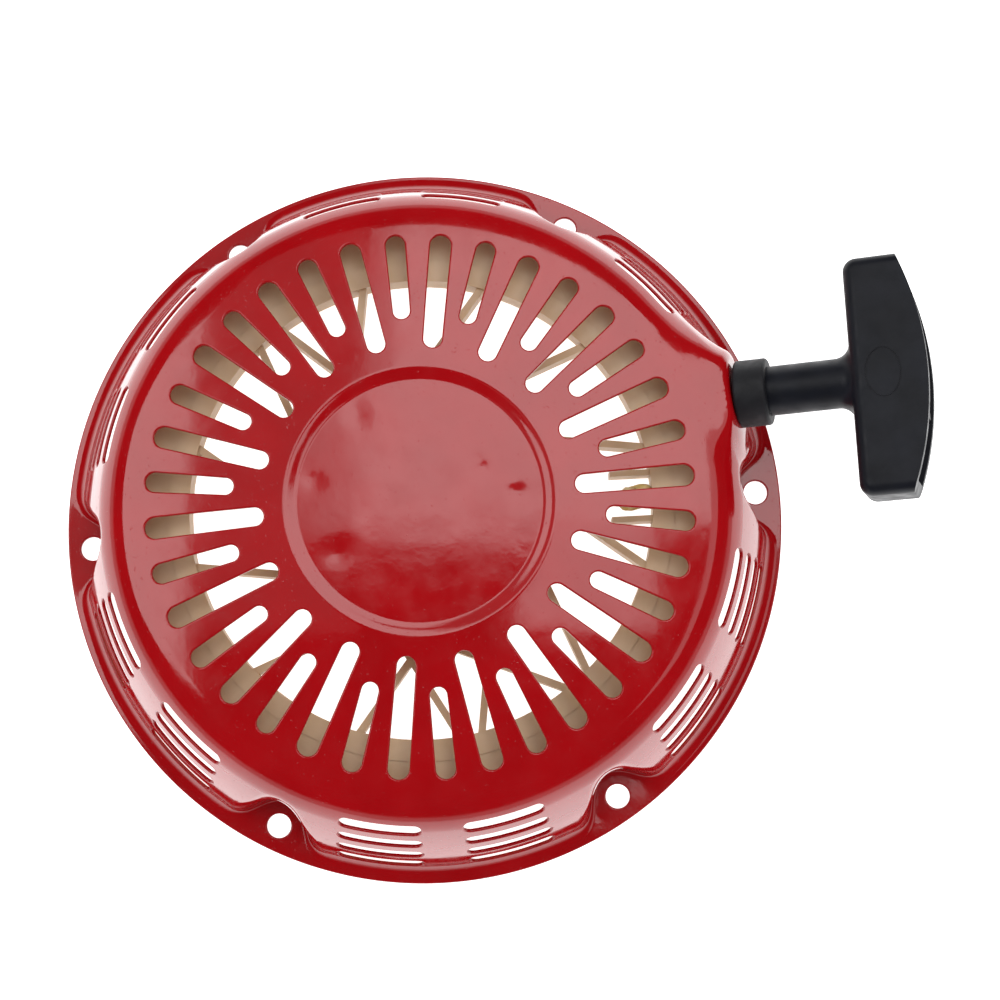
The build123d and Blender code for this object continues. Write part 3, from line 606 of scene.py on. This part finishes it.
def first_grid():
    """Directions and triangles of a coarse polar grid over the case, every other ring half a step round."""
    count, first, step = TOP_RINGS
    profile = [(first + step * k, DISC_TOP) for k in range(count)]
    profile += [(radius, CROWN_TOP - radius**2 / (2 * CROWN_R)) for radius in SHOULDER_RINGS]
    count, first, step = WALL_RINGS
    profile += [(wall_radius(first + step * k), first + step * k) for k in range(count)]
    profile += [(radius, SHEET) for radius in FLANGE_RINGS]
    points = [(0.0, 0.0, DISC_TOP)]
    for ring, (radius, height) in enumerate(profile):
        for k in range(GRID_COLUMNS):
            angle = 2 * math.pi * (k + 0.5 * (ring % 2)) / GRID_COLUMNS + math.radians(SLOT_ANGLE)
            points.append(polar(radius, angle, height))
    faces = [(0, 1 + k, 1 + (k + 1) % GRID_COLUMNS) for k in range(GRID_COLUMNS)]
    for ring in range(len(profile) - 1):
        inner = 1 + ring * GRID_COLUMNS
        outer = inner + GRID_COLUMNS
        for k in range(GRID_COLUMNS):
            after = (k + 1) % GRID_COLUMNS
            if ring % 2:
                faces.append((inner + k, outer + after, inner + after))
                faces.append((inner + k, outer + k, outer + after))
            else:
                faces.append((inner + k, outer + k, inner + after))
                faces.append((inner + after, outer + k, outer + after))
    return unit(np.array(points) - RAY_ORIGIN), np.array(faces)


# An edge is divided when it is long, or is near a cut and not short, or bends much and is not very short.
LONG_EDGE = 4.5
CUT_EDGE = 0.95
BENT_EDGE = 0.55
MUCH_BENT = 7.0             # degrees between the skin's directions at its ends
NEAR_CUT = 0.7              # as a share of the edge's length
DEEP_IN_CUT = -1.5          # edges wholly this far into a hole stay as they are
SNAP = 0.24                 # points this close to a cut are moved onto it
ON_CUT = 0.02


def refine(directions, points, faces):
    """One round of dividing edges, or the same grid when there is none to divide."""
    normals = gradient(case_distance, points)
    cut = hole_distance(points) - EDGE_ROUND
    numbers, edges = edge_table(faces, len(points))
    a, b = edges.T
    length = np.linalg.norm(points[a] - points[b], axis=1)
    bend = np.degrees(np.arccos(np.clip((normals[a] * normals[b]).sum(axis=1), -1, 1)))
    near = np.minimum(np.abs(cut[a]), np.abs(cut[b])) < NEAR_CUT * length
    long = (near & (length > CUT_EDGE)) | ((bend > MUCH_BENT) & (length > BENT_EDGE)) | (length > LONG_EDGE)
    chosen = np.flatnonzero(long & (np.maximum(cut[a], cut[b]) >= DEEP_IN_CUT))
    middle = np.full(len(edges), -1)
    middle[chosen] = len(points) + np.arange(len(chosen))
    midway = unit(directions[a[chosen]] + directions[b[chosen]])
    directions = np.concatenate([directions, midway])
    points = np.concatenate([points, cast(midway)])
    return directions, points, split_triangles(faces, numbers, middle)


def snap_to_cuts(points):
    """Moves points next to a cut onto it, along the skin, and returns all their distances from cuts."""
    cut = hole_distance(points) - EDGE_ROUND
    for _ in range(3):
        close = np.flatnonzero(np.abs(cut) < SNAP)
        slope = gradient(hole_distance, points[close])
        normals = gradient(case_distance, points[close])
        slope = unit(slope - (slope * normals).sum(axis=1)[:, None] * normals)
        moved = cast(unit(points[close] - slope * cut[close][:, None] - RAY_ORIGIN))
        points[close] = moved
        cut[close] = hole_distance(moved) - EDGE_ROUND
        cut[close] = np.where(np.abs(cut[close]) < ON_CUT, 0.0, cut[close])
    return cut


def case_skin():
    """Points, normals and triangles of the case's outer skin, cut EDGE_ROUND short of every hole."""
    directions, faces = first_grid()
    points = cast(directions)
    for _ in range(4):
        directions, points, faces = refine(directions, points, faces)
    cut = snap_to_cuts(points)
    numbers, edges = edge_table(faces, len(points))
    a, b = edges.T
    crossing = np.flatnonzero(cut[a] * cut[b] < 0)
    middle = np.full(len(edges), -1)
    middle[crossing] = len(points) + np.arange(len(crossing))
    share = (cut[a[crossing]] / (cut[a[crossing]] - cut[b[crossing]]))[:, None]
    on_cut = points[a[crossing]] * (1 - share) + points[b[crossing]] * share
    points = np.concatenate([points, cast(unit(on_cut - RAY_ORIGIN))])
    cut = np.concatenate([cut, np.zeros(len(crossing))])
    faces = split_triangles(faces, numbers, middle)
    faces = faces[cut[faces].max(axis=1) > 0]
    used, faces = np.unique(faces, return_inverse=True)
    points = points[used]
    return points, gradient(case_distance, points), faces.reshape(-1, 3)


def make_case():
    """The outer skin, the inner skin SHEET under it, and rolled edges that join the two at every cut."""
    points, normals, faces = case_skin()
    count = len(points)
    directed = np.stack([faces, np.roll(faces, -1, axis=1)], axis=2).reshape(-1, 2)
    keys = directed[:, 0] * count + directed[:, 1]
    back = directed[:, 1] * count + directed[:, 0]
    rim_edges = directed[~np.isin(keys, back)]
    rim, rim_numbers = np.unique(rim_edges, return_inverse=True)
    rim_numbers = rim_numbers.reshape(-1, 2)
    base, up = points[rim], normals[rim]
    outwards = -gradient(hole_distance, base)
    outwards = unit(outwards - (outwards * up).sum(axis=1)[:, None] * up)
    rings, ring_normals = [base], [(up, up)]
    for degrees in (30.0, 60.0, 90.0):
        turn = math.radians(degrees)
        out, down = EDGE_ROUND * math.sin(turn), EDGE_ROUND * (1 - math.cos(turn))
        rings.append(base + outwards * out - up * down)
        tilt = up * math.cos(turn) + outwards * math.sin(turn)
        ring_normals.append((tilt, tilt))
    rings.append(base + outwards * EDGE_ROUND - up * SHEET)
    ring_normals.append((outwards, -up))
    all_points = [points, points - normals * SHEET] + rings[1:]
    loop_faces = [faces, faces[:, ::-1] + count]
    loop_normals = [normals[faces], -normals[faces[:, ::-1]]]
    first_new = 2 * count
    ring_ids = [rim] + [first_new + k * len(rim) + np.arange(len(rim)) for k in range(len(rings) - 1)]
    ring_ids.append(rim + count)
    ring_normals.append((-up, -up))
    a, b = rim_numbers.T
    strips = []
    for k in range(len(ring_ids) - 1):
        upper, lower = ring_ids[k], ring_ids[k + 1]
        above, below = ring_normals[k][1], ring_normals[k + 1][0]
        strips.append(np.stack([upper[b], upper[a], lower[a], lower[b]], 1))
        loop_normals.append(np.stack([above[b], above[a], below[a], below[b]], 1))
    polygons = [face for group in loop_faces + strips for face in group.tolist()]
    corners = np.concatenate([group.reshape(-1, 3) for group in loop_normals])
    points = np.concatenate(all_points)
    piece = new_piece("case_shell", points, polygons, finishes["red_enamel"], corners)
    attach(piece, "housing")
    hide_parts("case")


make_case()


# ---------------------------------------------------------------- rope
STRANDS = 6                 # diamonds of the braid round the rope
DIAMOND = 2.7               # length of one diamond
BRAID_DEPTH = 0.12          # of the grooves between diamonds, as a share of the radius
ROUND_STEPS = 24
RING_GAP = 0.7


def braid(name, line, lengths, radius, material):
    """A braided rope along a line of points; lengths are the distances along the rope at those points."""
    line = np.asarray(line, float)
    tangents = unit(np.gradient(line, axis=0))
    normal = unit(np.cross(tangents[0], (0.3, 0.2, 1.0)))
    angles = np.linspace(0, 2 * math.pi, ROUND_STEPS, endpoint=False)
    points = []
    for centre, tangent, length in zip(line, tangents, lengths):
        normal = unit(normal - tangent * (normal @ tangent))
        side = np.cross(tangent, normal)
        first = np.sin((STRANDS * angles + 2 * math.pi * length / DIAMOND) / 2)
        second = np.sin((STRANDS * angles - 2 * math.pi * length / DIAMOND) / 2)
        swell = radius * (1 - BRAID_DEPTH + BRAID_DEPTH * np.sqrt(np.abs(first * second)))
        ring = np.outer(np.cos(angles) * swell, normal) + np.outer(np.sin(angles) * swell, side)
        points += list(centre + ring)
    rings = len(line)
    faces = []
    for ring in range(rings - 1):
        for k in range(ROUND_STEPS):
            after = (k + 1) % ROUND_STEPS
            here, there = ring * ROUND_STEPS, (ring + 1) * ROUND_STEPS
            faces.append((here + k, here + after, there + after, there + k))
    faces.append(tuple(range(ROUND_STEPS - 1, -1, -1)))
    faces.append(tuple(range((rings - 1) * ROUND_STEPS, rings * ROUND_STEPS)))
    return new_piece(name, points, faces, material)


def evenly(line, spacing):
    """Points about spacing apart along a line, and their distances along it."""
    line = np.asarray(line, float)
    gaps = np.linalg.norm(np.diff(line, axis=0), axis=1)
    reached = np.concatenate([[0.0], np.cumsum(gaps)])
    wanted = np.linspace(0.0, reached[-1], max(2, round(reached[-1] / spacing)))
    return np.stack([np.interp(wanted, reached, line[:, k]) for k in range(3)], axis=1), wanted


rope_corner = on_pull_axis(-ROPE_CORNER)
corner_r = math.hypot(rope_corner[0], rope_corner[1])
leave_angle = math.atan2(rope_corner[1], rope_corner[0]) + math.acos(OUTER_TURN_R / corner_r)
leave_point = polar(OUTER_TURN_R, leave_angle, GROOVE_MIDDLE)


TURNS = 1.86
CLIMB = (0.40, 0.54)        # where along the turns the rope climbs, seen from its outer end
WINDING_STEPS = 900


def make_winding():
    """The rope's turns in the reel's groove: from the outer layer down a ramp to the groove's floor."""
    line = []
    for share in np.linspace(0.0, 1.0, WINDING_STEPS):
        angle = leave_angle + 2 * math.pi * TURNS * share
        climbed = smooth_step((share - CLIMB[0]) / (CLIMB[1] - CLIMB[0]))
        line.append(polar(between((OUTER_TURN_R, FIRST_TURN_R), climbed), angle, GROOVE_MIDDLE))
    places, lengths = evenly(line, RING_GAP)
    winding = braid("rope_turns", places, lengths, ROPE_R, finishes["rope"])
    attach(winding, "reel")
    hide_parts("rope_winding")


STRETCH_START = -4.0        # where the rope's stretch begins and ends, along the pull axis
STRETCH_END = 33.0
STRETCH_SAMPLES = 4000
NECK_END = 39.5
BEND_STEPS = 12


def rounded_lead():
    """From the reel to the pull axis, with one bend."""
    before, after = unit(rope_corner - leave_point), pull_axis
    turn = math.acos(float(before @ after))
    cut = LEAD_BEND_R * math.tan(turn / 2)
    start, end = rope_corner - before * cut, rope_corner + after * cut
    inward = unit(after - before)
    centre = rope_corner + inward * LEAD_BEND_R / math.cos(turn / 2)
    arc = []
    for share in np.linspace(0, 1, BEND_STEPS):
        spoke = unit(between((start - centre, end - centre), share))
        arc.append(centre + spoke * LEAD_BEND_R)
    return [leave_point] + arc


def make_pull_rope():
    """One rope from the reel through the grip. Its stretch is packed with rings spaced for the handle pulled out
    its full length.
    """
    lead, lead_lengths = evenly(rounded_lead() + [on_pull_axis(STRETCH_START)], RING_GAP)
    samples = np.linspace(STRETCH_START, STRETCH_END, STRETCH_SAMPLES)
    share = smooth_step((samples - STRETCH_START) / (STRETCH_END - STRETCH_START))
    pulled = samples + share * pull_length
    wanted = np.arange(pulled[0] + RING_GAP, pulled[-1], RING_GAP)
    at = np.interp(wanted, pulled, samples)
    after = np.arange(STRETCH_END, NECK_END, RING_GAP)
    line = list(lead) + [on_pull_axis(s) for s in at] + [on_pull_axis(s) for s in after]
    zero = lead_lengths[-1] - pulled[0]
    lengths = np.concatenate([lead_lengths, zero + wanted, zero + after + pull_length])
    rope = braid("pull_rope", line, lengths, ROPE_R, finishes["rope"])
    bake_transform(rope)
    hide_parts("rope_lead", "rope_handle_run")


KNOT_STEPS = 120
KNOT_START = math.radians(40)       # where the trefoil is opened for the rope's two ends
KNOT_ROUND = 2 * math.pi * 0.93     # how much of it is there
KNOT_WEAVE = 0.24                   # how far strands pass over and under, as a share of the knot's length
KNOT_DRIFT = 0.25                   # how far the knot's end is beyond its start, as the same share
KNOT_END = 0.97
KNOT_GAP = 0.5
TIGHT_ROPE_R = ROPE_R * 0.82        # the rope is squeezed in a knot


def make_knot(name, start, axis, size, material):
    """An overhand knot, which is an open trefoil, on a line from start along axis."""
    length, reach = size
    side = unit(np.cross(axis, (0.0, 0.0, 1.0)))
    other = np.cross(axis, side)
    scale = (reach - ROPE_R * 0.85) / 3.0
    line = [start]
    for share in np.linspace(0.0, 1.0, KNOT_STEPS):
        turn = KNOT_START + KNOT_ROUND * share
        across = (math.sin(turn) + 2 * math.sin(2 * turn)) * scale
        up = (math.cos(turn) - 2 * math.cos(2 * turn)) * scale
        along = length * (0.5 - KNOT_WEAVE * math.sin(3 * turn) + (share - 0.5) * KNOT_DRIFT)
        line.append(start + side * across + other * up + axis * along)
    line.append(start + axis * length * KNOT_END)
    places, lengths = evenly(line, KNOT_GAP)
    return braid(name, places, lengths, TIGHT_ROPE_R, material)


def make_reel_knot():
    start = polar(REEL_KNOT_R, REEL_KNOT_ANGLE, GROOVE_MIDDLE)
    inwards = -polar(1.0, REEL_KNOT_ANGLE, 0.0)
    knot = make_knot("reel_knot_tied", start, inwards, REEL_KNOT_SIZE, knot_nylon)
    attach(knot, "reel")
    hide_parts("reel_knot")


def make_grip_knot():
    start = on_pull_axis(GRIP_KNOT_START)
    knot = make_knot("grip_knot_tied", start, pull_axis, GRIP_KNOT_SIZE, finishes["rope"])
    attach(knot, "handle")
    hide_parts("handle_knot")


make_winding()
make_pull_rope()
make_reel_knot()
make_grip_knot()


# ---------------------------------------------------------------- floor, world and lights
FLOOR_HALF = 4.0
FLOOR_DROP = 0.0004
FLOOR_GREY = 0.82
FLOOR_GLOW = (0.95, 0.9)    # as seen, and in reflections
WORLD_LIGHT = 0.85
HORIZON = {"From Min": 0.12, "From Max": 0.2, "To Min": 0.75, "To Max": 0.03}
LAMP_HEIGHT = 1.5


def reflected_or(tree, plain, reflected):
    """One value for what is seen directly, and another for reflections."""
    rays = tree.nodes.new("ShaderNodeLightPath")
    mix = tree.nodes.new("ShaderNodeMix")
    mix.data_type = "FLOAT"
    tree.links.new(rays.outputs["Is Glossy Ray"], mix.inputs["Factor"])
    mix.inputs["A"].default_value = plain
    if isinstance(reflected, bpy.types.NodeSocket):
        tree.links.new(reflected, mix.inputs["B"])
    else:
        mix.inputs["B"].default_value = reflected
    return mix.outputs["Result"]


def make_floor():
    """A plain white light table under the part."""
    mesh = bpy.data.meshes.new("floor")
    level = min(0.0, cad_low.z) - FLOOR_DROP
    signs = ((-1, -1), (1, -1), (1, 1), (-1, 1))
    corners = [(FLOOR_HALF * x, FLOOR_HALF * y, level) for x, y in signs]
    mesh.from_pydata(corners, [], [(0, 1, 2, 3)])
    floor = bpy.data.objects.new("floor", mesh)
    bpy.context.scene.collection.objects.link(floor)
    material, shader = new_material("floor", (FLOOR_GREY, FLOOR_GREY, FLOOR_GREY), 0.9)
    shader.inputs["Specular IOR Level"].default_value = 0.0
    shader.inputs["Emission Color"].default_value = (1.0, 1.0, 1.0, 1.0)
    tree = material.node_tree
    tree.links.new(reflected_or(tree, *FLOOR_GLOW), shader.inputs["Emission Strength"])
    mesh.materials.append(material)


def make_world():
    """Even white light; in reflections, a pale band along the horizon under a dark ceiling."""
    world = bpy.data.worlds.new("studio")
    world.use_nodes = True
    tree = world.node_tree
    background = tree.nodes["Background"]
    background.inputs["Color"].default_value = (1.0, 1.0, 1.0, 1.0)
    direction = tree.nodes.new("ShaderNodeTexCoord")
    split = tree.nodes.new("ShaderNodeSeparateXYZ")
    band = tree.nodes.new("ShaderNodeMapRange")
    tree.links.new(direction.outputs["Generated"], split.inputs["Vector"])
    tree.links.new(split.outputs["Z"], band.inputs["Value"])
    for socket, value in HORIZON.items():
        band.inputs[socket].default_value = value
    strength = reflected_or(tree, WORLD_LIGHT, band.outputs["Result"])
    tree.links.new(strength, background.inputs["Strength"])
    bpy.context.scene.world = world


def soft_box(name, low, high, radiance, reflected=True):
    """A rectangular lamp facing down, from its low to its high corner in metres."""
    lamp = bpy.data.lights.new(name, "AREA")
    lamp.shape = "RECTANGLE"
    lamp.size, lamp.size_y = high[0] - low[0], high[1] - low[1]
    lamp.energy = radiance * math.pi * lamp.size * lamp.size_y
    holder = bpy.data.objects.new(name, lamp)
    bpy.context.scene.collection.objects.link(holder)
    holder.location = ((low[0] + high[0]) / 2, (low[1] + high[1]) / 2, LAMP_HEIGHT)
    holder.visible_glossy = reflected
    holder.visible_camera = False


make_floor()
make_world()
soft_box("key", (-0.13, 0.17), (0.80, 1.0), 3.0)
soft_box("key_edge", (-0.20, 0.17), (-0.13, 1.0), 1.6)
soft_box("key_low", (0.17, -0.10), (0.52, 0.17), 2.4)
soft_box("left", (-1.6, -0.28), (-0.64, 0.78), 3.0)
soft_box("right", (0.80, -0.65), (1.5, 0.5), 1.2)
soft_box("glow", (-0.64, -0.1), (-0.20, 1.1), 0.28)
soft_box("fill", (-0.8, -1.5), (0.8, -0.4), 0.35, reflected=False)
